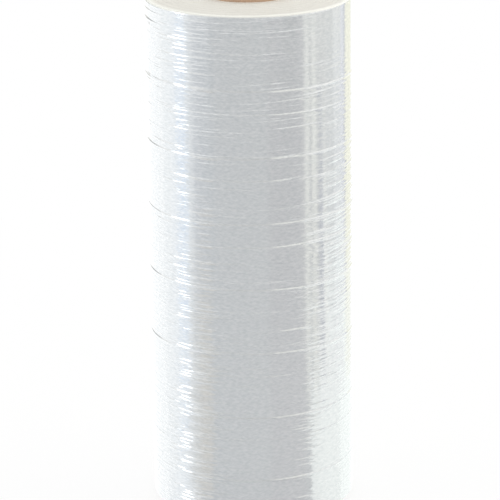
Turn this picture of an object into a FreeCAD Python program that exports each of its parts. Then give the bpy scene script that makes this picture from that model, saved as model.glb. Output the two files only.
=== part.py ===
# A machine roll of clear stretch film, standing on end.
#
# The roll has two pieces. The core is a thick tube of spirally wound board, cut a little longer
# than the film so that it takes the weight and keeps the film's edges off the floor. The film is
# one long web wound tightly on the core, and its turns cling together into one solid:
#   - the last turn ends in a free tail, a small step down to the turn below, which comes out to
#     the round again a little further on,
#   - its end faces rise slightly towards the core, because the first turns were wound slacker and
#     wider, and the turns lie in bands that stand a little higher or lower than each other,
#   - thick stripes in the web lie over each other turn after turn and build up into low ridges
#     round the outside, at an even spacing along the roll.
#
# Lengths are millimetres and angles degrees. +Z is up, along the core, and the origin is on the
# axis at the floor. Both pieces are modelled about the roll's mid-height and then lifted.
import FreeCAD, Part
import Sketcher
import math
import operator
import os

SIZES = {
    # The core.
    "core_bore": 76.2,          # three inches, to fit the mandrel of a wrapping machine
    "core_wall": 6.0,
    "core_overhang": 6.0,       # how far the core stands out beyond the film's rim at each end
    "core_edge_break": 0.8,     # bevel that the cut ends are pressed to
    # The film.
    "film_width": 508.0,        # twenty inches, between the outer rims of the two end faces
    "film_diameter": 200.0,
    "tail_step": 0.25,          # how far the free tail stands off the turn below
    "tail_land": 14.0,          # how far past the tail the turn below lies bare
    "tail_angle": 70.0,         # round from +X, on the far side
    # The end faces of the film.
    "face_rise": 1.2,           # how much further out the face stands at the core than at the rim
    "rim_bevel": 1.6,
    "turn_band_width": 6.5,
    "turn_band_depth": 0.45,
    # The ridges round the outside.
    "ridge_height": 0.4,
    "ridge_foot": 2.4,          # width of a ridge where it meets the outside
    "ridge_pitch": 65.2,
    "lowest_ridge": 44.0,       # from the film's lower rim to the first ridge
}

# The bands of turns differ in depth by this share, in a slow irregular rhythm round the face.
BAND_DEPTH_SHARE = 0.35
BAND_DEPTH_RHYTHM = 2.4
# A profile runs this much past the surface that it cuts or joins.
OVERRUN = 1.0
FULL_TURN = 360.0

# Parts of a sketch, by the numbers that constraints know them by.
X_AXIS = -1
ORIGIN = (-1, 1)
START, END, CENTRE = 1, 2, 3
UP = FreeCAD.Vector(0, 0, 1)

OPERATIONS = {
    "+": operator.add,
    "-": operator.sub,
    "*": operator.mul,
    "/": operator.truediv,
}


class Size:
    """A size that follows the sheet: its number as the sheet now stands, and its formula."""

    def __init__(self, number, formula):
        self.number = number
        self.formula = formula

    def combined(self, sign, other):
        if not isinstance(other, Size):
            other = Size(other, f"{other:g}")
        number = OPERATIONS[sign](self.number, other.number)
        return Size(number, f"({self.formula} {sign} {other.formula})")

    def __add__(self, other):
        return self.combined("+", other)

    def __sub__(self, other):
        return self.combined("-", other)

    def __mul__(self, other):
        return self.combined("*", other)

    def __truediv__(self, other):
        return self.combined("/", other)


doc = FreeCAD.newDocument("stretch_wrap_roll")


def read_sheet():
    """Puts the driving sizes in a sheet, one to a row, and gives them back by name."""
    sheet = doc.addObject("Spreadsheet::Sheet", "sizes")
    for row, (name, value) in enumerate(SIZES.items(), start=1):
        sheet.set(f"A{row}", name.replace("_", " "))
        sheet.set(f"B{row}", str(value))
        sheet.setAlias(f"B{row}", name)
    doc.recompute()
    return {name: Size(float(sheet.get(name)), f"sizes.{name}") for name in SIZES}


sizes = read_sheet()

# What both pieces and several features share.
core_length = sizes["film_width"] + sizes["core_overhang"] * 2
mid_height = core_length / 2
bore_radius = sizes["core_bore"] / 2
core_radius = bore_radius + sizes["core_wall"]
film_radius = sizes["film_diameter"] / 2
tail_radius = film_radius + sizes["tail_step"]
face_edge_radius = tail_radius - sizes["rim_bevel"]
half_width = sizes["film_width"] / 2
shoulder_height = half_width - sizes["rim_bevel"]


def origin_feature(body, role):
    return next(feature for feature in body.Origin.OriginFeatures if feature.Role == role)


def new_sketch(body, name, plane_role):
    sketch = body.newObject("Sketcher::SketchObject", name)
    sketch.AttachmentSupport = [(origin_feature(body, plane_role), "")]
    sketch.MapMode = "FlatFace"
    return sketch


def dimension(sketch, kind, *places, size):
    """Adds a dimension between places of the sketch, and binds it to the size's formula."""
    index = sketch.addConstraint(Sketcher.Constraint(kind, *places, size.number))
    sketch.setExpression(f"Constraints[{index}]", size.formula)


def join(sketch, *ends):
    """Makes each pair of ends, or an end and the sketch's origin, one point."""
    for first, second in ends:
        sketch.addConstraint(Sketcher.Constraint("Coincident", *first, *second))


def circle_about_origin(sketch, radius):
    circle = sketch.addGeometry(Part.Circle(FreeCAD.Vector(), UP, radius.number))
    join(sketch, ((circle, CENTRE), ORIGIN))
    dimension(sketch, "Radius", circle, size=radius)


def polygon(sketch, corners):
    """A closed outline of straight lines. Each corner is a pair of sizes, across and up."""
    points = [FreeCAD.Vector(across.number, up.number, 0) for across, up in corners]
    ahead = points[1:] + points[:1]
    lines = [sketch.addGeometry(Part.LineSegment(*pair)) for pair in zip(points, ahead)]
    for line, following in zip(lines, lines[1:] + lines[:1]):
        join(sketch, ((line, END), (following, START)))
    for line, (across, up) in zip(lines, corners):
        dimension(sketch, "DistanceX", *ORIGIN, line, START, size=across)
        dimension(sketch, "DistanceY", *ORIGIN, line, START, size=up)


def turned(body, kind, name, sketch):
    """A profile turned once round the roll's axis, which adds or cuts as its kind says."""
    feature = body.newObject(f"PartDesign::{kind}", name)
    feature.Profile = sketch
    feature.ReferenceAxis = (origin_feature(body, "Z_Axis"), [""])
    feature.Angle = FULL_TURN
    return feature


def make_core():
    """The board tube, with the edges of its two cut ends pressed in, inside and out."""
    body = doc.addObject("PartDesign::Body", "cardboard_core")
    ring = new_sketch(body, "core_ring", "XY_Plane")
    circle_about_origin(ring, bore_radius)
    circle_about_origin(ring, core_radius)

    tube = body.newObject("PartDesign::Pad", "core_tube")
    tube.Profile = ring
    tube.SideType = "Symmetric"
    tube.setExpression("Length", core_length.formula)
    doc.recompute()

    cut_edges = [
        f"Edge{number}"
        for number, edge in enumerate(tube.Shape.Edges, start=1)
        if isinstance(edge.Curve, Part.Circle)
    ]
    ends = body.newObject("PartDesign::Chamfer", "core_ends")
    ends.Base = (tube, cut_edges)
    ends.setExpression("Size", sizes["core_edge_break"].formula)
    body.setExpression("Placement.Base.z", mid_height.formula)
    return body


def wound_outline(body):
    """The film seen from its end, with the hole for the core. The outside is round from the tail
    on, nearly once about, and then runs straight in to the foot of the tail's step."""
    sketch = new_sketch(body, "wound_outline", "XY_Plane")
    outer_circle = Part.Circle(FreeCAD.Vector(), UP, tail_radius.number)
    last_angle = 2 * math.pi - sizes["tail_land"].number / tail_radius.number
    foot = FreeCAD.Vector(film_radius.number, 0, 0)
    top = FreeCAD.Vector(tail_radius.number, 0, 0)
    round_end = outer_circle.value(last_angle)

    last_turn = sketch.addGeometry(Part.ArcOfCircle(outer_circle, 0, last_angle))
    land = sketch.addGeometry(Part.LineSegment(round_end, foot))
    tail = sketch.addGeometry(Part.LineSegment(foot, top))
    join(
        sketch,
        ((last_turn, END), (land, START)),
        ((land, END), (tail, START)),
        ((tail, END), (last_turn, START)),
        ((last_turn, CENTRE), ORIGIN),
    )
    for end_of_tail in (START, END):
        sketch.addConstraint(Sketcher.Constraint("PointOnObject", tail, end_of_tail, X_AXIS))
    dimension(sketch, "Radius", last_turn, size=tail_radius)
    dimension(sketch, "DistanceX", tail, START, tail, END, size=sizes["tail_step"])
    dimension(sketch, "Distance", land, size=sizes["tail_land"])
    circle_about_origin(sketch, core_radius)
    return sketch


def face_height(radius):
    """The height of the coned end face at a radius, before its bands are pressed in."""
    slope = sizes["face_rise"] / (face_edge_radius - core_radius)
    return half_width + (face_edge_radius - radius) * slope


def face_relief(body):
    """What is cut from above the upper end face. The profile's lower side has a shallow furrow
    for each band of turns, and slopes down over the outer rim."""
    sketch = new_sketch(body, "face_relief", "XZ_Plane")
    band_width, band_depth = sizes["turn_band_width"], sizes["turn_band_depth"]
    face_width = face_edge_radius - core_radius
    bands = int(face_width.number // band_width.number)

    in_hole = core_radius - OVERRUN
    outside = tail_radius + sizes["ridge_height"] + OVERRUN
    above = half_width + sizes["face_rise"] + OVERRUN
    corners = [(in_hole, face_height(core_radius))]
    for band in range(bands):
        depth_share = 1 - BAND_DEPTH_SHARE * (1 + math.cos(BAND_DEPTH_RHYTHM * band)) / 2
        crest = core_radius + band_width * band
        furrow = crest + band_width / 2
        corners.append((crest, face_height(crest)))
        corners.append((furrow, face_height(furrow) - band_depth * depth_share))
    corners.append((face_edge_radius, half_width))
    corners.append((tail_radius, shoulder_height))
    corners.append((outside, shoulder_height))
    corners.append((outside, above))
    corners.append((in_hole, above))
    polygon(sketch, corners)
    return sketch


def ridge_section(body):
    """The lowest ridge in section, a low triangle whose foot runs into the roll."""
    sketch = new_sketch(body, "ridge_section", "XZ_Plane")
    crest = tail_radius + sizes["ridge_height"]
    sunk = film_radius - OVERRUN
    side_slope = sizes["ridge_foot"] / 2 / sizes["ridge_height"]
    half_foot = (crest - sunk) * side_slope
    middle = sizes["lowest_ridge"] - half_width
    polygon(sketch, [(sunk, middle - half_foot), (crest, middle), (sunk, middle + half_foot)])
    return sketch


def make_film():
    """The film's turns as one solid: a wound log, the ridges round it, and two end faces."""
    body = doc.addObject("PartDesign::Body", "stretch_film")
    log = body.newObject("PartDesign::Pad", "wound_log")
    log.Profile = wound_outline(body)
    log.SideType = "Symmetric"
    log.setExpression("Length", (sizes["film_width"] + sizes["face_rise"] * 2).formula)

    ridge = turned(body, "Revolution", "lowest_ridge", ridge_section(body))
    doc.recompute()
    room_above = sizes["film_width"] - sizes["lowest_ridge"] - sizes["rim_bevel"]
    room_above = room_above - sizes["ridge_foot"] / 2
    ridges = body.newObject("PartDesign::LinearPattern", "ridges")
    ridges.Originals = [ridge]
    ridges.Direction = (origin_feature(body, "Z_Axis"), [""])
    ridges.Mode = "Spacing"
    ridges.Occurrences = 1 + int(room_above.number // sizes["ridge_pitch"].number)
    ridges.setExpression("Offset", sizes["ridge_pitch"].formula)
    body.Tip = ridges
    doc.recompute()

    before_faces = ridges.Shape.Volume
    upper_face = turned(body, "Groove", "upper_face", face_relief(body))
    doc.recompute()
    lower_face = body.newObject("PartDesign::Mirrored", "lower_face")
    lower_face.Originals = [upper_face]
    lower_face.MirrorPlane = (origin_feature(body, "XY_Plane"), [""])
    body.Tip = lower_face
    doc.recompute()
    if not lower_face.Shape.Volume < upper_face.Shape.Volume < before_faces:
        raise RuntimeError("an end face wasn't cut")

    body.Placement.Rotation = FreeCAD.Rotation(UP, 1)
    body.setExpression("Placement.Rotation.Angle", sizes["tail_angle"].formula)
    body.setExpression("Placement.Base.z", mid_height.formula)
    return body


def check(bodies):
    """Stops if a feature failed, or if a piece isn't one valid solid."""
    for thing in doc.Objects:
        if {"Invalid", "Error"} & set(thing.State):
            raise RuntimeError(f"{thing.Name} failed: {thing.State}")
    for body in bodies:
        shape = body.Shape
        if shape.isNull() or not shape.isValid() or len(shape.Solids) != 1:
            raise RuntimeError(f"{body.Label} isn't one valid solid")


def main():
    bodies = [make_core(), make_film()]
    doc.recompute()
    check(bodies)
    os.makedirs("parts", exist_ok=True)
    for body in bodies:
        body.Shape.exportStep(f"parts/{body.Label}.step")
        print(f"{body.Label}: {body.Shape.Volume / 1000:.1f} cm3, {len(body.Shape.Faces)} faces")


main()
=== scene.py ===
"""The looks of a standing roll of stretch film: its turns, its free tail and its board core."""

import math
import random

import bpy
import numpy as np
from mathutils import Matrix, Quaternion, Vector


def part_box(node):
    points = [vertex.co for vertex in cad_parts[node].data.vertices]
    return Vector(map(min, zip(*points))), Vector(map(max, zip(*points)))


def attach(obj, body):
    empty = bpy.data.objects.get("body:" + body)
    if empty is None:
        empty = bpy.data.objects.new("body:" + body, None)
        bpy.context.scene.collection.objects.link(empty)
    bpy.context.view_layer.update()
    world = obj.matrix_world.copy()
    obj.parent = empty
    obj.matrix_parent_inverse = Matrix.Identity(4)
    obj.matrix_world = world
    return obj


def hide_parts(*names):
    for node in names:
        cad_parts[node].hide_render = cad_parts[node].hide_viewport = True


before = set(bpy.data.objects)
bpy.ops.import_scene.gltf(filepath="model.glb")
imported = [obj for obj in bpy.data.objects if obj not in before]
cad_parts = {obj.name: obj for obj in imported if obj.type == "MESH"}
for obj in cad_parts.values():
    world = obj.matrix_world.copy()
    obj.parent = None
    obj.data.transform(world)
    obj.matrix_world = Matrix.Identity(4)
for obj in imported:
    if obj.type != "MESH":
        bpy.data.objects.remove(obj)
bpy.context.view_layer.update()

MM = 0.001
TURN = 2 * math.pi

# The roll's own sizes. The core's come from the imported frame, which stands on z = 0.
core_low, core_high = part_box("cardboard_core")
CORE_RADIUS = core_high.x
CORE_WALL = 6.0 * MM
BORE_RADIUS = CORE_RADIUS - CORE_WALL
FILM_RADIUS = 100.0 * MM
TAIL_STEP = 0.25 * MM
TAIL_ANGLE = math.radians(70)
CORE_OVERHANG = 6.0 * MM
RIM_LOW = core_low.z + CORE_OVERHANG
RIM_HIGH = core_high.z - CORE_OVERHANG
RIM_ROUNDING = 1.6 * MM
FACE_RISE = 1.2 * MM

random.seed(7)


# Meshes


def mesh_from(name, points, quads):
    mesh = bpy.data.meshes.new(name)
    mesh.from_pydata(points.tolist(), [], quads.tolist())
    mesh.polygons.foreach_set("use_smooth", [True] * len(mesh.polygons))
    mesh.update()
    piece = bpy.data.objects.new(name, mesh)
    bpy.context.scene.collection.objects.link(piece)
    return piece


def ring_mesh(name, across, heights):
    """A closed ring from a grid of points: rows go round its section, columns round its axis."""
    rows, columns = across.shape
    angles = np.arange(columns) * TURN / columns
    points = np.stack([across * np.cos(angles), across * np.sin(angles), heights], axis=-1)
    corner = np.arange(rows * columns).reshape(rows, columns)
    below = np.roll(corner, -1, axis=0)
    quads = np.stack(
        [corner, below, np.roll(below, -1, axis=1), np.roll(corner, -1, axis=1)], axis=-1
    )
    return mesh_from(name, points.reshape(-1, 3), quads.reshape(-1, 4))


def grid_quads(corner):
    """Quads over a grid of point numbers, facing out where rows go down and columns go round."""
    quads = [corner[:-1, :-1], corner[1:, :-1], corner[1:, 1:], corner[:-1, 1:]]
    return np.stack(quads, axis=-1).reshape(-1, 4)


def slow_wave(angles, size, most_waves=3):
    """A smooth random wave round the roll that closes on itself."""
    wave = np.zeros_like(angles)
    for waves in range(1, most_waves + 1):
        wave = wave + random.uniform(-1, 1) * np.sin(waves * angles + random.uniform(0, TURN))
    return size * wave / most_waves


# The film's ridges, which the wall and the tail share

# Where the web is thick, its turns build up into even ridges: main ones, and lower ones between
# them. Near the upper rim they are half as high and lie on the left only.
MAIN_RIDGE = {"height": 0.45 * MM, "half_width": 0.85 * MM}
SIDE_RIDGE = {"height": 0.24 * MM, "half_width": 0.75 * MM}
LOWEST_MAIN_RIDGE = 44.0 * MM
LOWEST_SIDE_RIDGE = 21.5 * MM
RIDGE_PITCH = 65.2 * MM
LEAST_BELOW_RIM = 4 * MM
TOP_STRETCH = 45 * MM
TOP_RIDGE_SHARE = 0.5
TOP_RIDGE_PLACE = {"centre": math.radians(-170), "half_span": math.radians(75)}
RIDGE_WANDER = 0.6

# Small ridges all over the wall, lower towards the top. On the camera's right they climb and stand
# out less, and least near the foot and the top. Heights and widths are in millimetres, spans in
# degrees, and places on the wall are shares of its height.
SMALL_RIDGES = 1500
SMALL_LEAST = 0.06
SMALL_USUAL_EXTRA = 0.07
SMALL_MOST_EXTRA = 0.26
SHARE_AT_FOOT = 1.45
LOST_BY_TOP = 0.6
THIN_HALF_WIDTHS = (0.5, 0.75)
SMALL_HALF_SPANS = (8, 40)
SMALL_SLANT_SPREAD = 0.015
RIGHT_SIDE = math.radians(-25)
STEEPEST_CLIMB = 0.045
LEAST_CLIMB = 0.01
SMOOTH_BELOW = 0.26
SMOOTH_ABOVE = 0.88
RIGHT_SHARE = 0.75
SMOOTH_SHARE = 0.35
WALL_MARGIN = 3 * MM

# Ridges across the left side line: height above the lower rim and how far they stand out, in
# millimetres.
LEFT_RIDGES = (
    (17.5, 0.35),
    (52, 0.25),
    (74.5, 0.75),
    (118, 0.35),
    (174, 0.5),
    (239.6, 0.38),
    (304.8, 0.3),
    (370, 0.24),
    (435.2, 0.24),
)
LEFT_HALF_WIDTH = 0.7 * MM
LEFT_MIDDLE = math.radians(-166)
LEFT_HALF_SPAN = math.radians(34)

# Where the film is puckered more. Each patch has its number of ridges, its middle angle and spread
# in degrees, the shares of the height where it starts and ends, the ridges' least and greatest
# height in millimetres, their least and greatest half span in degrees, and how much they climb.
PUCKERED_PATCHES = (
    (220, -133, 8, 0.0, 1.0, 0.14, 0.4, 3, 8, 0.0),
    (190, -132, 8, 0.0, 0.55, 0.2, 0.5, 3, 8, 0.0),
    (110, -130, 7, 0.0, 0.25, 0.35, 0.65, 3, 8, 0.0),
    (110, -118, 6, 0.0, 0.42, 0.2, 0.5, 6, 14, 0.0),
    (90, -38, 13, 0.26, 0.6, 0.1, 0.32, 12, 24, 0.05),
    (80, -27, 9, 0.48, 0.72, 0.18, 0.42, 7, 14, 0.06),
    (60, -28, 10, 0.5, 0.92, 0.1, 0.3, 9, 18, 0.05),
    (30, -64, 3, 0.25, 0.75, 0.16, 0.36, 5, 9, 0.03),
    (36, -60, 3, 0.01, 0.25, 0.22, 0.45, 5, 9, 0.03),
    (150, -152, 12, 0.0, 1.0, 0.12, 0.3, 5, 12, 0.0),
)
PUCKERED_SLANT_SPREAD = 0.02


class Ridge:
    """One ridge round the roll. A short one fades out at its two ends, and climbs by its slant."""

    def __init__(self, middle, height, half_width, centre=0.0, half_span=None, slant=0.0):
        self.middle = middle
        self.height = height
        self.half_width = half_width
        self.centre = centre
        self.half_span = half_span
        self.slant = slant
        self.phase = random.uniform(0, TURN)

    def relief(self, heights, angles):
        """How far it stands out at each pair of height and angle."""
        off_centre = (angles - self.centre + math.pi) % TURN - math.pi
        line = self.middle + self.half_width * RIDGE_WANDER * np.sin(2 * angles + self.phase)
        line = line + self.slant * FILM_RADIUS * off_centre
        fade = 1.0
        if self.half_span:
            fade = np.clip(1 - (off_centre / self.half_span) ** 2, 0, 1)
        return self.height * fade * np.exp(-(((heights - line) / self.half_width) ** 2))


def wall_height(along):
    """The height at this share of the way up the wall."""
    return RIM_LOW + WALL_MARGIN + along * (RIM_HIGH - RIM_LOW - 2 * WALL_MARGIN)


def even_ridges():
    ridges = []
    for lowest, form in ((LOWEST_MAIN_RIDGE, MAIN_RIDGE), (LOWEST_SIDE_RIDGE, SIDE_RIDGE)):
        middle = RIM_LOW + lowest
        while middle < RIM_HIGH - LEAST_BELOW_RIM:
            whole = middle < RIM_HIGH - TOP_STRETCH
            height = form["height"] * (1 if whole else TOP_RIDGE_SHARE)
            place = {} if whole else TOP_RIDGE_PLACE
            ridges.append(Ridge(middle, height, form["half_width"], **place))
            middle += RIDGE_PITCH
    return ridges


def small_ridges():
    ridges = []
    for _ in range(SMALL_RIDGES):
        along = random.random()
        centre = random.uniform(0, TURN)
        climb = STEEPEST_CLIMB * max(math.cos(centre - RIGHT_SIDE), 0)
        height = SMALL_LEAST + min(random.expovariate(1 / SMALL_USUAL_EXTRA), SMALL_MOST_EXTRA)
        if climb > LEAST_CLIMB:
            height *= RIGHT_SHARE if SMOOTH_BELOW < along < SMOOTH_ABOVE else SMOOTH_SHARE
        ridges.append(
            Ridge(
                middle=wall_height(along),
                height=height * (SHARE_AT_FOOT - LOST_BY_TOP * along) * MM,
                half_width=random.uniform(*THIN_HALF_WIDTHS) * MM,
                centre=centre,
                half_span=math.radians(random.uniform(*SMALL_HALF_SPANS)),
                slant=climb + random.gauss(0, SMALL_SLANT_SPREAD),
            )
        )
    return ridges


def left_ridges():
    return [
        Ridge(RIM_LOW + height * MM, relief * MM, LEFT_HALF_WIDTH, LEFT_MIDDLE, LEFT_HALF_SPAN)
        for height, relief in LEFT_RIDGES
    ]


def puckered_ridges():
    ridges = []
    for count, centre, spread, low, high, least, most, short, wide, climb in PUCKERED_PATCHES:
        for _ in range(count):
            along = random.uniform(low, high)
            ridges.append(
                Ridge(
                    middle=wall_height(along),
                    height=random.uniform(least, most) * MM,
                    half_width=random.uniform(*THIN_HALF_WIDTHS) * MM,
                    centre=math.radians(random.gauss(centre, spread)),
                    half_span=math.radians(random.uniform(short, wide)),
                    slant=random.gauss(climb, PUCKERED_SLANT_SPREAD),
                )
            )
    return ridges


RIDGES = even_ridges() + small_ridges() + left_ridges() + puckered_ridges()

# How far from its middle a ridge still stands out, and the most that ridges add up to.
RIDGE_REACH = 8 * MM
MOST_RELIEF = 0.8 * MM


def wall_relief(heights, angles):
    """How far all the ridges together stand out over a grid with one height for each row."""
    relief = np.zeros(angles.shape)
    for ridge in RIDGES:
        near = np.flatnonzero(np.abs(heights - ridge.middle) < RIDGE_REACH)
        if len(near):
            relief[near] += ridge.relief(heights[near, None], angles[near])
    return np.minimum(relief, MOST_RELIEF)


# The film's turns

WALL_ROW = 0.5 * MM
FILM_COLUMNS = 80
FACE_RING = 0.8 * MM
RIM_STEPS = 4
TAIL_WRAP = math.radians(38)
WALL_DRIFT = 0.05 * MM

# On the end faces, bands of turns are pressed in to furrows, which differ in depth from band to
# band and change a little on their way round. Fine rings lie on top.
TURN_BAND = 6.5 * MM
FURROW_DEPTH = 0.45 * MM
BAND_VARIETY = 0.35
BAND_CHANGE = 2.4
FURROW_EVEN = 0.8
FURROW_UNEVEN = 0.2
FINE_RING_DEPTH = 0.07 * MM


def face_section(radii, angles):
    """How far an end face stands out beyond the rim: a low cone with bands of turns pressed in."""
    cone = FACE_RISE * (1 - (radii - CORE_RADIUS) / (FILM_RADIUS - CORE_RADIUS))
    band = (radii - CORE_RADIUS) / TURN_BAND
    depth = FURROW_DEPTH * (1 - BAND_VARIETY * (1 + np.cos(BAND_CHANGE * np.floor(band))) / 2)
    furrow = depth * (1 - np.abs(2 * (band % 1) - 1))
    rings = np.zeros((len(radii), len(angles)))
    for row in range(len(radii)):
        rings[row] = random.uniform(-1, 1) * FINE_RING_DEPTH + slow_wave(angles, FINE_RING_DEPTH)
    settle = np.clip((FILM_RADIUS - radii) / TURN_BAND, 0, 1)
    round_change = FURROW_EVEN + slow_wave(angles, FURROW_UNEVEN)
    return cone[:, None] - furrow[:, None] * round_change + rings * settle[:, None]


def make_film():
    """All the turns as one closed ring, from the core out over an end face, down the wall and in
    again under the other end face."""
    angles = np.arange(FILM_COLUMNS) * TURN / FILM_COLUMNS
    edge = FILM_RADIUS - RIM_ROUNDING
    radii = np.linspace(CORE_RADIUS, edge, round((edge - CORE_RADIUS) / FACE_RING) + 1)
    wall_top, wall_low = RIM_HIGH - RIM_ROUNDING, RIM_LOW + RIM_ROUNDING
    wall = np.linspace(wall_top, wall_low, round((wall_top - wall_low) / WALL_ROW) + 1)
    bends = np.linspace(0, math.pi / 2, RIM_STEPS + 2)[1:-1, None]

    # Just past the tail the wall starts a step lower, and comes out again under the last turn.
    past_tail = ((angles - TAIL_ANGLE) % TURN) / TURN
    wrap = TAIL_WRAP / TURN
    step = TAIL_STEP * np.where(past_tail < wrap, past_tail / wrap, (1 - past_tail) / (1 - wrap))
    drift = slow_wave(angles, WALL_DRIFT)

    top_rise = face_section(radii, angles)
    low_rise = face_section(radii, angles)
    face_out = np.repeat(radii[:, None], FILM_COLUMNS, axis=1)
    rim_out = edge + RIM_ROUNDING * np.sin(bends) + step * np.sin(bends)
    rim_down = np.repeat(RIM_ROUNDING * (1 - np.cos(bends)), FILM_COLUMNS, axis=1)
    wall_angles = np.repeat(angles[None, :], len(wall), axis=0)
    wall_out = FILM_RADIUS + step + drift + wall_relief(wall, wall_angles)
    across = np.vstack([face_out, rim_out, wall_out, rim_out[::-1], face_out[::-1]])
    heights = np.vstack(
        [
            RIM_HIGH + top_rise,
            RIM_HIGH - rim_down,
            np.repeat(wall[:, None], FILM_COLUMNS, axis=1),
            (RIM_LOW + rim_down)[::-1],
            (RIM_LOW - low_rise)[::-1],
        ]
    )
    film = ring_mesh("film_turns", across, heights)
    film.data.materials.append(film_material())
    film.data.materials.append(film_edge_material())
    on_face = np.zeros(across.shape, dtype=np.int32)
    face_rows = len(radii) - 1 + RIM_STEPS
    on_face[:face_rows] = 1
    on_face[-1 - face_rows : -1] = 1
    film.data.polygons.foreach_set("material_index", on_face.ravel())
    return film


# The film's free end

# The columns crowd towards the cut edge. There the sheet lies a little above its step, and at its
# other end it has sunk into the wall.
TAIL_ROWS = 420
TAIL_COLUMNS = 26
TAIL_CROWDING = 1.6
TAIL_THICKNESS = 0.2 * MM
TAIL_LIFT = 0.06 * MM
TAIL_SINK = 0.14 * MM
SINK_BEND = 3

# The cut edge's waves: how far each reaches in millimetres, its radians over the roll's height and
# where it starts. Stretches of the edge and its upper corner are loose, and are lifted by so many
# millimetres, which fades where the sheet clings again.
EDGE_WAVES = ((1.6, 7, 1.0), (0.5, 31, 0.0))
LOOSE_WAVES = 9
LOOSE_START = 0.6
LOOSE_LIFT = 0.6
CORNER_LIFT = 0.5
CORNER_BEND = 14
CLING = 9


def make_tail():
    """The free end of the film, a thin sheet that clings to the turn below and fades into the
    wall. Its cut edge wanders a little, and stands off where it doesn't cling."""
    heights = np.linspace(RIM_HIGH - RIM_ROUNDING, RIM_LOW + RIM_ROUNDING, TAIL_ROWS)
    along = (heights - RIM_LOW) / (RIM_HIGH - RIM_LOW)
    wander = sum(reach * np.sin(waves * along + start) for reach, waves, start in EDGE_WAVES)
    edge = TAIL_ANGLE + wander * MM / FILM_RADIUS
    share = np.linspace(0, 1, TAIL_COLUMNS)[None, :] ** TAIL_CROWDING
    angles = edge[:, None] + share * (TAIL_ANGLE + TAIL_WRAP - edge)[:, None]

    loose = np.clip(np.sin(LOOSE_WAVES * along + LOOSE_START), 0, 1) ** 2 * LOOSE_LIFT * MM
    loose = loose + along**CORNER_BEND * CORNER_LIFT * MM
    stand_off = loose[:, None] * np.exp(-share * CLING)
    rise = (TAIL_STEP + TAIL_LIFT) * (1 - share) - TAIL_SINK * share**SINK_BEND
    past_tail = np.clip(angles - TAIL_ANGLE, 0, None) / TAIL_WRAP
    under = FILM_RADIUS + TAIL_STEP * past_tail + wall_relief(heights, angles)
    outer = under + rise + stand_off

    points = []
    for across in (outer, outer - TAIL_THICKNESS):
        layer = [
            across * np.cos(angles),
            across * np.sin(angles),
            np.repeat(heights[:, None], TAIL_COLUMNS, axis=1),
        ]
        points.append(np.stack(layer, axis=-1).reshape(-1, 3))
    front = np.arange(TAIL_ROWS * TAIL_COLUMNS).reshape(TAIL_ROWS, TAIL_COLUMNS)
    back = front + TAIL_ROWS * TAIL_COLUMNS
    quads = [grid_quads(front), grid_quads(back)[:, ::-1]]
    for side in (np.s_[0, :], np.s_[-1, ::-1], np.s_[::-1, 0], np.s_[:, -1]):
        quads.append(grid_quads(np.stack([back[side], front[side]])))
    tail = mesh_from("film_tail", np.vstack(points), np.vstack(quads))
    tail.data.materials.append(film_material())
    return tail


# The core

CORE_COLUMNS = 96
CORE_ROWS = 40
CORE_BENDS = 4
EDGE_ROUNDING = 0.7 * MM
PLY = 0.5 * MM
PLY_SHORT = 0.08 * MM
PLY_WAVES = 6
MOST_PLY_SHORT = 0.3 * MM
STRIP_CLIMB = 110 * MM
SEAM_WIDTH = 0.8 * MM


def make_core():
    """The board tube, with its plies showing a little proud or short at the two cut ends."""
    angles = np.arange(CORE_COLUMNS) * TURN / CORE_COLUMNS
    plies = np.arange(BORE_RADIUS + EDGE_ROUNDING, CORE_RADIUS - EDGE_ROUNDING, PLY / 2)
    rounding = [
        (EDGE_ROUNDING * (1 - math.sin(bend)), EDGE_ROUNDING * (1 - math.cos(bend)))
        for bend in np.linspace(0, math.pi / 2, CORE_BENDS + 1)[1:]
    ]

    # Each point of the section has its radius, its height, and 1 or -1 on the upper or lower cut.
    cuts = []
    for end, up in ((core_high.z, 1), (core_low.z, -1)):
        cut = [(BORE_RADIUS + inward, end - up * down, 0) for inward, down in rounding[::-1]]
        cut += [(radius, end, up) for radius in plies]
        cut += [(CORE_RADIUS - inward, end - up * down, 0) for inward, down in rounding]
        cuts.append(cut[::up])
    top, low = cuts
    walls = np.linspace(core_high.z - EDGE_ROUNDING, core_low.z + EDGE_ROUNDING, CORE_ROWS)[1:-1]
    section = top + [(CORE_RADIUS, z, 0) for z in walls] + low
    section += [(BORE_RADIUS, z, 0) for z in walls[::-1]]

    across = np.repeat(np.array([r for r, _, _ in section])[:, None], CORE_COLUMNS, axis=1)
    heights = np.repeat(np.array([z for _, z, _ in section])[:, None], CORE_COLUMNS, axis=1)
    for row, (_, _, on_cut) in enumerate(section):
        if on_cut:
            short = PLY_SHORT * abs(random.gauss(0, 1)) + slow_wave(angles, PLY_SHORT, PLY_WAVES)
            heights[row] -= on_cut * np.clip(short, 0, MOST_PLY_SHORT)
    core = ring_mesh("core_tube", across, heights)
    core.data.materials.append(board_material())
    return core


# Materials

# Where a Mix node keeps its factor, its two colours and its result.
MIX_FACTOR, MIX_A, MIX_B, MIX_RESULT = 0, 6, 7, 2
FILM_IOR = 1.51


def linear(colour):
    """An sRGB hex colour as linear values with full alpha."""
    shares = [int(colour[i : i + 2], 16) / 255 for i in (0, 2, 4)]
    return [s / 12.92 if s <= 0.04045 else ((s + 0.055) / 1.055) ** 2.4 for s in shares] + [1.0]


WHITE = linear("FFFFFF")


def per(size_x, size_y, size_z):
    """Pattern scales for features of these sizes in millimetres."""
    return (1 / (size_x * MM), 1 / (size_y * MM), 1 / (size_z * MM))


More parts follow.
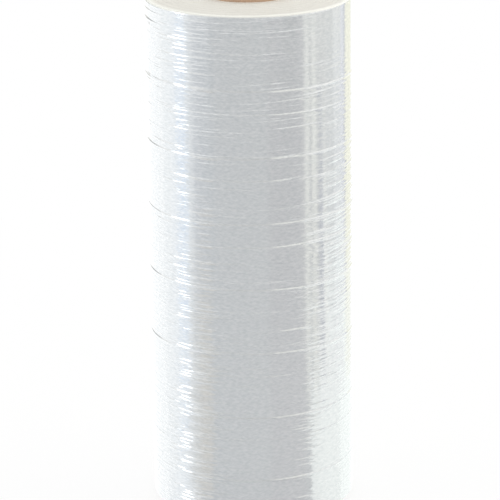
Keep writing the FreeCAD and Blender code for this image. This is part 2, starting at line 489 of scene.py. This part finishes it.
def add(tree, kind, inputs, **settings):
    """Adds a node. Each input is a value, or another node's output to link from."""
    node = tree.nodes.new(f"ShaderNode{kind}")
    for name, value in settings.items():
        setattr(node, name, value)
    for key, value in inputs.items():
        if isinstance(value, bpy.types.NodeSocket):
            tree.links.new(value, node.inputs[key])
        else:
            node.inputs[key].default_value = value
    return node


def new_material(name):
    """An empty material, its node tree, and the place on the object that patterns read."""
    material = bpy.data.materials.new(name)
    material.use_nodes = True
    tree = material.node_tree
    tree.nodes.clear()
    place = add(tree, "TexCoord", {}).outputs["Object"]
    return material, tree, place


def unrolled(tree, place):
    """A point of the wall as it lies on the flat web: how far from the tail it is round the roll,
    and its height. The jump at the end of the turn falls on the tail."""
    turned = add(tree, "VectorRotate", {"Vector": place, "Angle": math.pi - TAIL_ANGLE})
    parts = add(tree, "SeparateXYZ", {"Vector": turned.outputs[0]})
    x, y, height = parts.outputs
    angle = add(tree, "Math", {0: y, 1: x}, operation="ARCTAN2")
    along = add(tree, "Math", {0: angle.outputs[0], 1: FILM_RADIUS}, operation="MULTIPLY")
    return add(tree, "CombineXYZ", {"X": along.outputs[0], "Y": height}).outputs[0]


def pattern(tree, place, along, across, lean=0.0, detail=2.0):
    """Noise with features of these sizes in millimetres, which climb by lean along the web."""
    turned = add(tree, "VectorRotate", {"Vector": place, "Angle": -math.atan(lean)})
    scaled = add(
        tree, "VectorMath", {0: turned.outputs[0], 1: per(along, across, 1)}, operation="MULTIPLY"
    )
    noise = add(tree, "TexNoise", {"Vector": scaled.outputs[0], "Scale": 1.0, "Detail": detail})
    return noise.outputs["Fac"]


def from_axis(tree, place):
    """The place brought down to height 0, and how far it is from the roll's axis."""
    flat_place = add(tree, "VectorMath", {0: place, 1: (1, 1, 0)}, operation="MULTIPLY").outputs[0]
    radius = add(tree, "VectorMath", {0: flat_place}, operation="LENGTH").outputs["Value"]
    return flat_place, radius


RING_CHANGE = 60


def ringed(tree, place, ring):
    """Noise in rings of this width about the axis. Each ring changes slowly on its way round, over
    RING_CHANGE millimetres."""
    flat_place, radius = from_axis(tree, place)
    across = add(tree, "Math", {0: radius, 1: 1 / ring}, operation="MULTIPLY")
    slow = per(RING_CHANGE, RING_CHANGE, RING_CHANGE)
    round_place = add(tree, "Mapping", {"Vector": flat_place, "Scale": slow})
    x, y, _ = add(tree, "SeparateXYZ", {"Vector": round_place.outputs[0]}).outputs
    ring_place = add(tree, "CombineXYZ", {"X": across.outputs[0], "Y": x, "Z": y})
    noise = add(tree, "TexNoise", {"Vector": ring_place.outputs[0], "Scale": 1.0, "Detail": 2.0})
    return noise.outputs["Fac"]


# How many of the outer turns mirror as one pile.
PLATES = 10


def pile_of_plates(tree):
    """How much of the light a pile of clear plates throws back, from what one face does: for n
    plates it is 2nF / (1 + (2n - 1)F)."""
    face = add(tree, "Fresnel", {"IOR": FILM_IOR}).outputs[0]
    both = add(tree, "Math", {0: face, 1: 2.0 * PLATES}, operation="MULTIPLY").outputs[0]
    rest = add(tree, "Math", {0: face, 1: 2.0 * PLATES - 1, 2: 1.0}, operation="MULTIPLY_ADD")
    return add(tree, "Math", {0: both, 1: rest.outputs[0]}, operation="DIVIDE").outputs[0]


STREAK_RELIEF = 0.19 * MM
CREASE_RELIEF = 0.014 * MM


def film_material():
    """Cast linear low-density polyethylene film, tightly wound and clinging. The many turns mirror
    like a pile of glass plates, so it shows as milky silver with a mirror gloss that grows towards
    the roll's two sides, and it is streaked round the roll where the web was stretched. The real
    creases are well under a millimetre wide, and are drawn as coarse as they need to show."""
    known = bpy.data.materials.get("wound_stretch_film")
    if known:
        return known
    material, tree, place = new_material("wound_stretch_film")
    web = unrolled(tree, place)
    streaks = pattern(tree, web, 55, 1.8, lean=0.01, detail=3.0)
    creases = pattern(tree, web, 4.6, 1.9, lean=0.35)
    crossing = pattern(tree, web, 5.2, 2.0, lean=-0.28)
    clouds = pattern(tree, web, 22, 7, detail=4.0)
    milky = add(tree, "Math", {0: creases, 1: crossing}, operation="ADD").outputs[0]
    shade = add(tree, "MapRange", {"Value": milky, "From Min": 0.75, "From Max": 1.25})
    colour = add(
        tree,
        "Mix",
        {MIX_FACTOR: shade.outputs[0], MIX_A: linear("E4E8EA"), MIX_B: linear("F5F7F8")},
        data_type="RGBA",
    )
    roughness = add(tree, "MapRange", {"Value": clouds, "To Min": 0.02, "To Max": 0.07})
    streaked = add(tree, "Bump", {"Height": streaks, "Distance": STREAK_RELIEF})
    creased = add(
        tree,
        "Bump",
        {"Height": milky, "Distance": CREASE_RELIEF, "Normal": streaked.outputs[0]},
    )
    shader = add(
        tree,
        "BsdfPrincipled",
        {
            "Base Color": colour.outputs[MIX_RESULT],
            "Roughness": roughness.outputs[0],
            "Metallic": pile_of_plates(tree),
            "IOR": FILM_IOR,
            "Normal": creased.outputs[0],
        },
    )
    add(tree, "OutputMaterial", {"Surface": shader.outputs[0]})
    return material


EDGE_RING = 0.7 * MM
EDGE_RING_RELIEF = 0.3 * MM
# How far the painted paler colour reaches in from the rim and out from the core.
PAINTED_LIGHT_REACH = 6.0 * MM


def film_edge_material():
    """The same film seen at the slit edges of its turns, which scatter the light: cream white and
    satin, with faint rings. Next to the rim and the core its colour is painted paler. Along the
    rim's lip this is a painted highlight. By the core it is painted light that takes away the shade
    under the core's overhang. Both stand for light that leaks in through the film. One ring stands
    for some 30 turns, because single ones are too fine to show."""
    material, tree, place = new_material("stretch_film_edges")
    rings = ringed(tree, place, EDGE_RING)
    _, radius = from_axis(tree, place)
    # Painted light: these shares blend the colour paler near the rim, as a painted highlight, and
    # near the core, against the shade under its overhang.
    painted_rim_highlight, painted_core_light = (
        add(tree, "MapRange", {"Value": radius, "From Min": inner, "From Max": outer}).outputs[0]
        for inner, outer in (
            (FILM_RADIUS - PAINTED_LIGHT_REACH, FILM_RADIUS - RIM_ROUNDING),
            (CORE_RADIUS + PAINTED_LIGHT_REACH, CORE_RADIUS),
        )
    )
    glow = add(tree, "Math", {0: painted_rim_highlight, 1: painted_core_light}, operation="MAXIMUM")
    cream = add(
        tree,
        "Mix",
        {MIX_FACTOR: rings, MIX_A: linear("D2CFC5"), MIX_B: linear("ECEAE2")},
        data_type="RGBA",
    )
    # The pale cream FAFAF2 is painted light, not the film's own colour.
    colour = add(
        tree,
        "Mix",
        {
            MIX_FACTOR: glow.outputs[0],
            MIX_A: cream.outputs[MIX_RESULT],
            MIX_B: linear("FAFAF2"),
        },
        data_type="RGBA",
    )
    bump = add(tree, "Bump", {"Height": rings, "Distance": EDGE_RING_RELIEF})
    shader = add(
        tree,
        "BsdfPrincipled",
        {
            "Base Color": colour.outputs[MIX_RESULT],
            "Roughness": 0.42,
            "IOR": FILM_IOR,
            "Normal": bump.outputs[0],
        },
    )
    add(tree, "OutputMaterial", {"Surface": shader.outputs[0]})
    return material


FIBRE_RELIEF = 0.12 * MM
PLY_CONTRAST = 0.7
BOARD_IOR = 1.5


def board_material():
    """Unbleached kraft board, wound in spiral strips: matt brown with short pale and dark fibres,
    the line where strip meets strip, and the plies as rings at the two cut ends. The real fibres
    are about 0.03 mm wide, and are drawn 0.6 mm wide so that they show."""
    material, tree, place = new_material("kraft_board")
    fibre_place = add(tree, "Mapping", {"Vector": place, "Scale": per(3.0, 3.0, 0.6)})
    fibres = add(tree, "TexNoise", {"Vector": fibre_place.outputs[0], "Scale": 1.0, "Detail": 5.0})
    plies = ringed(tree, place, PLY)
    fibrous = add(
        tree,
        "Mix",
        {MIX_FACTOR: fibres.outputs["Fac"], MIX_A: linear("C29C80"), MIX_B: linear("E8CAB0")},
        data_type="RGBA",
    )
    ply_shade = add(tree, "MapRange", {"Value": plies, "From Min": 0.35, "From Max": 0.65})
    plied = add(
        tree,
        "Mix",
        {MIX_FACTOR: ply_shade.outputs[0], MIX_A: linear("E7E5E2"), MIX_B: WHITE},
        data_type="RGBA",
    )
    board = add(
        tree,
        "Mix",
        {
            MIX_FACTOR: PLY_CONTRAST,
            MIX_A: fibrous.outputs[MIX_RESULT],
            MIX_B: plied.outputs[MIX_RESULT],
        },
        data_type="RGBA",
        blend_type="MULTIPLY",
    )

    # The strips climb one strip height for each turn, and meet in a thin open line.
    x, y, height = add(tree, "SeparateXYZ", {"Vector": place}).outputs
    angle = add(tree, "Math", {0: y, 1: x}, operation="ARCTAN2")
    turned = add(tree, "Math", {0: angle.outputs[0], 1: TURN}, operation="DIVIDE")
    climbed = add(
        tree,
        "Math",
        {0: height, 1: 1 / STRIP_CLIMB, 2: turned.outputs[0]},
        operation="MULTIPLY_ADD",
    )
    to_seam = add(tree, "Math", {0: climbed.outputs[0], 1: 0.5}, operation="PINGPONG")
    seam = add(
        tree,
        "MapRange",
        {
            "Value": to_seam.outputs[0],
            "From Max": SEAM_WIDTH / STRIP_CLIMB,
            "To Min": 1.0,
            "To Max": 0.0,
        },
    )
    colour = add(
        tree,
        "Mix",
        {MIX_FACTOR: seam.outputs[0], MIX_A: board.outputs[MIX_RESULT], MIX_B: linear("866A50")},
        data_type="RGBA",
    )
    relief = add(tree, "Math", {0: fibres.outputs["Fac"], 1: seam.outputs[0]}, operation="SUBTRACT")
    bump = add(tree, "Bump", {"Height": relief.outputs[0], "Distance": FIBRE_RELIEF})
    shader = add(
        tree,
        "BsdfPrincipled",
        {
            "Base Color": colour.outputs[MIX_RESULT],
            "Roughness": 0.85,
            "IOR": BOARD_IOR,
            "Normal": bump.outputs[0],
        },
    )
    add(tree, "OutputMaterial", {"Surface": shader.outputs[0]})
    return material


# The stage. Its distances are in metres, and a glow of strength 1 is white.

# The floor's glow for the camera starts at this strength by the roll and is full further out.
FLOOR_REACH = 14.0
GLOW_BY_ROLL = 0.88
GLOW_START, GLOW_FULL = 0.15, 1.0


def seen_or_mirrored(tree, path):
    """1 for what the camera sees, straight or in a gloss or through a clear piece, and 0 for the
    light that falls on things."""
    straight = add(
        tree,
        "Math",
        {0: path.outputs["Is Camera Ray"], 1: path.outputs["Is Glossy Ray"]},
        operation="MAXIMUM",
    )
    either = add(
        tree,
        "Math",
        {0: straight.outputs[0], 1: path.outputs["Is Transmission Ray"]},
        operation="MAXIMUM",
    )
    return either.outputs[0]


def make_floor():
    """A floor that the camera sees white. Near the roll it glows a little less, so that the roll's
    shadow still shows on it."""
    mesh = bpy.data.meshes.new("floor")
    square = ((-1, -1), (1, -1), (1, 1), (-1, 1))
    corners = [(x * FLOOR_REACH, y * FLOOR_REACH, 0) for x, y in square]
    mesh.from_pydata(corners, [], [(0, 1, 2, 3)])
    floor = bpy.data.objects.new("floor", mesh)
    bpy.context.scene.collection.objects.link(floor)
    material, tree, place = new_material("white_floor")
    seen = seen_or_mirrored(tree, add(tree, "LightPath", {}))
    away = add(tree, "VectorMath", {0: place}, operation="LENGTH").outputs["Value"]
    glow = add(
        tree,
        "MapRange",
        {"Value": away, "From Min": GLOW_START, "From Max": GLOW_FULL, "To Min": GLOW_BY_ROLL},
    )
    share = add(tree, "Math", {0: seen, 1: glow.outputs[0]}, operation="MULTIPLY")
    matt = add(tree, "BsdfDiffuse", {"Color": linear("FBFBFA")})
    white = add(tree, "Emission", {"Color": WHITE, "Strength": 1.0})
    shader = add(tree, "MixShader", {0: share.outputs[0], 1: matt.outputs[0], 2: white.outputs[0]})
    add(tree, "OutputMaterial", {"Surface": shader.outputs[0]})
    mesh.materials.append(material)


# The world's even light, and what the roll mirrors of the world. That is dim behind the camera,
# between these two Y parts of a direction, and in a corner at the back left, round this direction
# and between these two cosines of the angle to it.
AMBIENT = 0.72
FRONT_STRENGTH = 0.42
FRONT_DEEPEST, FRONT_START = -0.85, -0.3
DIM_CORNER_STRENGTH = 0.44
DIM_CORNER_START, DIM_CORNER_DEEPEST = 0.84, 0.96
DIM_CORNER = (-0.53, 0.848, 0.0)


def make_world():
    """White for the camera, dim in places for what is mirrored, and an even light on all things."""
    world = bpy.data.worlds.new("studio")
    world.use_nodes = True
    tree = world.node_tree
    tree.nodes.clear()
    path = add(tree, "LightPath", {})
    direction = add(tree, "TexCoord", {}).outputs["Generated"]
    parts = add(tree, "SeparateXYZ", {"Vector": direction})
    front = add(
        tree,
        "MapRange",
        {
            "Value": parts.outputs["Y"],
            "From Min": FRONT_DEEPEST,
            "From Max": FRONT_START,
            "To Min": FRONT_STRENGTH,
        },
    )
    towards = add(tree, "VectorMath", {0: direction, 1: DIM_CORNER}, operation="DOT_PRODUCT")
    corner = add(
        tree,
        "MapRange",
        {
            "Value": towards.outputs["Value"],
            "From Min": DIM_CORNER_START,
            "From Max": DIM_CORNER_DEEPEST,
            "To Min": 1.0,
            "To Max": DIM_CORNER_STRENGTH,
        },
    )
    room = add(tree, "Math", {0: front.outputs[0], 1: corner.outputs[0]}, operation="MULTIPLY")
    backdrop = add(
        tree, "Math", {0: room.outputs[0], 1: path.outputs["Is Camera Ray"]}, operation="MAXIMUM"
    )
    mirrored = add(
        tree, "Background", {"Color": linear("FFFDFA"), "Strength": backdrop.outputs[0]}
    )
    lighting = add(tree, "Background", {"Color": WHITE, "Strength": AMBIENT})
    seen = seen_or_mirrored(tree, path)
    shader = add(tree, "MixShader", {0: seen, 1: lighting.outputs[0], 2: mirrored.outputs[0]})
    add(tree, "OutputWorld", {"Surface": shader.outputs[0]})
    bpy.context.scene.world = world


# Places round the stage are given by azimuth in degrees, where 0 is the camera's side and 90 the
# right, and by distance in metres. The lights face the middle of the roll.
AIM_HEIGHT = (core_low.z + core_high.z) / 2


def outward(azimuth):
    """The level direction from the roll towards this azimuth, in radians."""
    return Vector((math.sin(azimuth), -math.cos(azimuth), 0))


def make_light(name, azimuth, distance, height, size, radiance, colour, lean=0, mirrored=True):
    """A soft panel that faces the roll, turned in its own plane by its lean in degrees. Its size
    is how wide and how tall it is."""
    width, tall = size
    data = bpy.data.lights.new(name, "AREA")
    data.shape = "RECTANGLE"
    data.size = width
    data.size_y = tall
    data.energy = radiance * math.pi * width * tall
    data.color = linear(colour)[:3]
    light = bpy.data.objects.new(name, data)
    bpy.context.scene.collection.objects.link(light)
    light.location = outward(math.radians(azimuth)) * distance + Vector((0, 0, height))
    aim = Vector((0, 0, AIM_HEIGHT)) - light.location
    turned = aim.to_track_quat("-Z", "Y") @ Quaternion((0, 0, 1), math.radians(lean))
    light.rotation_euler = turned.to_euler()
    light.visible_camera = False
    light.visible_glossy = mirrored


def make_lights():
    make_light(
        "left_softbox",
        azimuth=-88,
        distance=5.0,
        height=1.9,
        size=(1.6, 4.4),
        radiance=2.3,
        colour="F2F8FF",
        lean=33,
    )
    make_light(
        "right_softbox",
        azimuth=97,
        distance=5.0,
        height=2.3,
        size=(7.4, 3.6),
        radiance=1.4,
        colour="FFFBF0",
        mirrored=False,
    )
    make_light(
        "back_softbox",
        azimuth=180,
        distance=1.6,
        height=2.2,
        size=(2.5, 1.6),
        radiance=1.0,
        colour="FFFFFF",
    )


def mirrored_point(azimuth, distance):
    """The point of the stage at this distance that the camera sees mirrored in the wall, at this
    azimuth. The wall mirrors it halfway round."""
    ray = math.radians(azimuth)
    return outward(ray / 2) * FILM_RADIUS + outward(ray) * distance


def make_reflector(name, points, quads, strength, colour):
    """A glowing sheet that only a gloss shows."""
    mesh = bpy.data.meshes.new(name)
    mesh.from_pydata(points, [], quads)
    sheet = bpy.data.objects.new(name, mesh)
    bpy.context.scene.collection.objects.link(sheet)
    sheet.visible_camera = False
    sheet.visible_diffuse = False
    sheet.visible_shadow = False
    material, tree, _ = new_material(name)
    glow = add(tree, "Emission", {"Color": linear(colour), "Strength": strength})
    add(tree, "OutputMaterial", {"Surface": glow.outputs[0]})
    mesh.materials.append(material)


# The cloths that lie on the floor to be mirrored in the wall: the azimuths where each starts and
# ends, the distances where it starts and ends, its strength and its colour. A later cloth lies over
# an earlier one.
FLOOR_CLOTHS = (
    # The bright side on the left, and how it fades towards the dim middle.
    (-100, -69.8, 0, 5, 1.08, "FAFCFF"),
    (-69.8, -66, 0, 2.5, 0.76, "F6F9FF"),
    (-66, -60, 0, 2.5, 0.57, "F2F6FF"),
    (-60, -50, 0, 2.5, 0.51, "F2F6FF"),
    (-50, -40, 0, 2.5, 0.45, "F2F7FF"),
    # The dim middle.
    (-40, 20, 0, 0.5, 0.475, "F8FAFF"),
    (-40, 20, 0.5, 1.5, 0.45, "F8FAFF"),
    (-40, 20, 1.5, 2.5, 0.425, "F8FAFF"),
    (20, 62.3, 0, 0.5, 0.425, "FAF8FF"),
    (20, 62.3, 0.5, 2.5, 0.385, "FAF8FF"),
    # The left again near the foot and further out, where the zones' edges move.
    (-84, -76, 0.05, 0.6, 0.92, "FAFCFF"),
    (-76, -70, 0.05, 0.6, 0.74, "FCFCFC"),
    (-70, -62, 0.05, 0.6, 0.62, "FFFCF6"),
    (-62, -46, 0.05, 0.67, 0.555, "FFF6EA"),
    (-75, -69.8, 0.6, 1.45, 0.88, "FAFCFF"),
    (-76, -69.8, 1.45, 2.5, 0.76, "FAFCFF"),
    (-69.8, -65, 1.45, 2.5, 0.64, "F6F9FF"),
    # Two faint upright lines in the middle.
    (-33.5, -32, 0.85, 2.0, 0.46, "F8FAFF"),
    (-22, -21, 0.85, 2.0, 0.46, "F8FAFF"),
    # By the right foot, and far out all round the camera's side.
    (62.3, 71, 0, 0.36, 0.44, "F8FAFF"),
    (-69.8, -45, 2.5, 5, 0.85, "FFFFFF"),
    (-45, 62.3, 2.5, 5, 0.45, "FFFFFF"),
    (62.3, 105, 2.05, 4, 0.66, "FFFFFB"),
    (105, 122, 2.05, 4, 0.82, "FFFFFB"),
    # Pale and dim boards on the right.
    (62.3, 64.2, 0.36, 2.05, 0.48, "FFFFFF"),
    (64.2, 70, 0.36, 1.2, 0.73, "FFFEF6"),
    (70, 72.6, 0.36, 1.2, 0.36, "EEF2FF"),
    (72.6, 79.5, 0.36, 1.2, 0.73, "FFFEF6"),
    (64.2, 70, 1.2, 2.05, 0.84, "FFFEF6"),
    (70, 72.6, 1.2, 2.05, 0.24, "EEF2FF"),
    (72.6, 79.5, 1.2, 2.05, 0.84, "FFFEF6"),
    (79.5, 83, 0.36, 2.05, 0.47, "FFFFFF"),
    (83, 90, 0.6, 1.3, 0.4, "E4EAFF"),
    (83, 91, 0.36, 0.6, 0.56, "FFFFFF"),
    (83, 91, 1.3, 2.05, 0.55, "FFFFFF"),
    (91, 95, 0.36, 1.15, 0.86, "FFFEF6"),
    (91, 95, 1.15, 2.05, 0.58, "FFFFFF"),
    (95, 108, 0.84, 2.05, 0.62, "FBFDFF"),
    (108, 122, 0.84, 2.05, 0.76, "FBFDFF"),
    (91, 95, 0.36, 0.84, 0.93, "FEFFF8"),
    (95, 108, 0.36, 0.84, 1.0, "FBFFFC"),
    (108, 122, 0.36, 0.84, 1.12, "FBFFFC"),
    (122, 130, 0.84, 4, 0.86, "F8F9FF"),
    (122, 133, 0.36, 0.84, 1.06, "FBFFFC"),
    (82, 130, 0.36, 0.55, 0.9, "FFFFFF"),
    (130, 133, 0.84, 4, 0.6, "F2F4FF"),
    (133, 155, 0.8, 4, 1.0, "FFFDEC"),
    (133, 155, 0.36, 0.8, 1.02, "FFFFF6"),
    # Behind the roll, close by it on the right, and on the far left.
    (155, 180, 0, 5, 1.1, "FFFFFF"),
    (71, 84, 0, 0.36, 0.95, "FCFFFC"),
    (84, 120, 0, 0.36, 1.0, "FCFFFC"),
    (120, 155, 0, 0.36, 1.1, "FCFFFC"),
    (-180, -114, 0, 5, 1.14, "FFFFFF"),
    (-114, -100, 0, 5, 1.08, "FDFEFF"),
    (-174, -140, 2.9, 13, 0.82, "F6F2EA"),
    # Narrow blue bars across the bright left.
    (-92, -78, 2.1, 2.23, 1.04, "C4DEFF"),
    (-88, -76, 1.95, 2.0, 1.04, "C4DEFF"),
    (-90, -78, 1.76, 1.8, 1.04, "C4DEFF"),
    (-92, -77, 1.42, 1.56, 1.04, "A8CFFF"),
    (-84, -72, 1.28, 1.34, 1.04, "C4DEFF"),
    (-88, -74, 1.1, 1.15, 1.04, "CFE4FF"),
    (-90, -75, 0.8, 0.89, 1.04, "BCDAFF"),
    (-84, -74, 0.7, 0.73, 1.04, "CFE4FF"),
    (-92, -77, 0.485, 0.545, 1.04, "BCDAFF"),
    (-88, -76, 0.27, 0.3, 1.04, "CFE4FF"),
    # Dim bars right of the middle.
    (36, 54, 1.8, 3.0, 0.29, "F8FAFF"),
    (20, 58, 1.3, 1.6, 0.31, "F6F3FF"),
    (26, 56, 1.02, 1.22, 0.32, "F4F2FF"),
)

# A cloth has a corner every so many degrees. The lowest lies so many millimetres over the floor,
# and each of the others so many over the one before.
CLOTH_STEP = 8.0
LOWEST_CLOTH = 0.2
CLOTH_GAP = 0.1

SCREEN_AZIMUTHS = (24, 43, 62)
SCREEN_HEIGHTS = (0.5, 3.5)
SCREEN_DISTANCE = 5.0
SCREEN_STRENGTH = 0.85


def make_cloths():
    for number, (start, end, near, far, strength, colour) in enumerate(FLOOR_CLOTHS):
        steps = math.ceil((end - start) / CLOTH_STEP)
        azimuths = [start + (end - start) * step / steps for step in range(steps + 1)]
        lift = Vector((0, 0, (LOWEST_CLOTH + CLOTH_GAP * number) * MM))
        points = [mirrored_point(a, d) + lift for a in azimuths for d in (near, far)]
        quads = [(2 * s, 2 * s + 1, 2 * s + 3, 2 * s + 2) for s in range(steps)]
        make_reflector(f"cloth_{number}", points, quads, strength, colour)


def make_screen():
    """A pale screen far out on the right, which shows in the upper sides of the ridges."""
    points = [
        mirrored_point(azimuth, SCREEN_DISTANCE) + Vector((0, 0, height))
        for azimuth in SCREEN_AZIMUTHS
        for height in SCREEN_HEIGHTS
    ]
    quads = [(0, 1, 3, 2), (2, 3, 5, 4)]
    make_reflector("right_screen", points, quads, SCREEN_STRENGTH, "FFFDF2")


# The camera. It was fitted to the roll's two side lines, upper rim and lower rim in the photo.
CAMERA_DISTANCE = 2.6068
CAMERA_ASIDE = -1.25 * MM
CAMERA_HEIGHT = RIM_LOW + 1.0795
CAMERA_PITCH = math.radians(17.666)
CAMERA_ROLL = math.radians(-0.64)
FOCAL_PIXELS = 2765
FRAME_PIXELS = 500
SENSOR = 36.0


def make_camera():
    data = bpy.data.cameras.new("camera")
    data.sensor_width = SENSOR
    data.lens = FOCAL_PIXELS / FRAME_PIXELS * SENSOR
    camera = bpy.data.objects.new("camera", data)
    bpy.context.scene.collection.objects.link(camera)
    down = Matrix.Rotation(math.pi / 2 - CAMERA_PITCH, 4, "X")
    roll = Matrix.Rotation(CAMERA_ROLL, 4, "Z")
    place = Matrix.Translation((CAMERA_ASIDE, -CAMERA_DISTANCE, CAMERA_HEIGHT))
    camera.matrix_world = place @ down @ roll
    bpy.context.scene.camera = camera


def main():
    pieces = [
        (make_film(), "stretch_film"),
        (make_tail(), "stretch_film"),
        (make_core(), "cardboard_core"),
    ]
    for piece, node in pieces:
        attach(piece, "root")
        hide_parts(node)
    make_floor()
    make_cloths()
    make_screen()
    make_world()
    make_lights()
    make_camera()
    bpy.context.scene.view_settings.view_transform = "Standard"


main()
